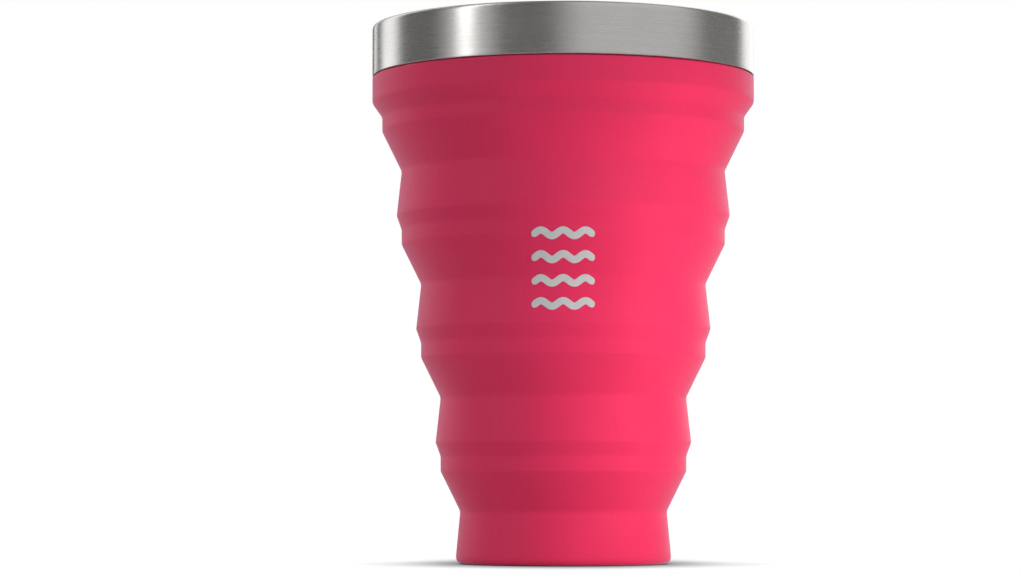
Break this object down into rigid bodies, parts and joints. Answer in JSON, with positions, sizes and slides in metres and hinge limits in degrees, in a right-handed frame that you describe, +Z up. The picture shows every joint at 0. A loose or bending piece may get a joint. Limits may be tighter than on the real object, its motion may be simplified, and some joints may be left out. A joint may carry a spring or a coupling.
{
  "type": "collapsible travel cup",
  "caption": "Collapsible silicone travel cup with a steel rim: stepped bands joined by thin folds push down one over another into a flat disc.",
  "frame": {"origin": "centre of the cup's underside, on the surface that the cup stands on", "axes": "+Z up along the cup's axis, from the base towards the steel rim; -Y is the side that carries the printed mark"},
  "size_m": [0.1, 0.1, 0.1404],
  "materials": {
    "silicone": "matte, velvety raspberry pink",
    "rim_steel": "fine brushing round the rim",
    "inner_plastic": "plain moulded polypropylene, natural"
  },
  "bodies": {
    "base": {"base_cup": "silicone", "base_cover": "silicone", "base_stiffener": "inner_plastic"},
    "lower_tier": {"lower_band": "silicone", "bottom_fold": "silicone"},
    "middle_tier": {"middle_band": "silicone", "lower_fold": "silicone"},
    "upper_tier": {"upper_band": "silicone", "upper_fold": "silicone"},
    "rim": {"collar": "silicone", "top_fold": "silicone", "rim_shell": "rim_steel", "rim_liner": "rim_steel", "rim_core": "inner_plastic"}
  },
  "joints": [
    {"name": "bottom_collapse", "type": "slide", "parent": "base", "child": "lower_tier", "axis": [0, 0, -1], "range_m": [0, 0.0276], "deforming": ["bottom_fold"]},
    {"name": "lower_collapse", "type": "slide", "parent": "lower_tier", "child": "middle_tier", "axis": [0, 0, -1], "range_m": [0, 0.0294], "deforming": ["lower_fold"]},
    {"name": "upper_collapse", "type": "slide", "parent": "middle_tier", "child": "upper_tier", "axis": [0, 0, -1], "range_m": [0, 0.0294], "deforming": ["upper_fold"]},
    {"name": "top_collapse", "type": "slide", "parent": "upper_tier", "child": "rim", "axis": [0, 0, -1], "range_m": [0, 0.0294], "deforming": ["top_fold"]}
  ]
}
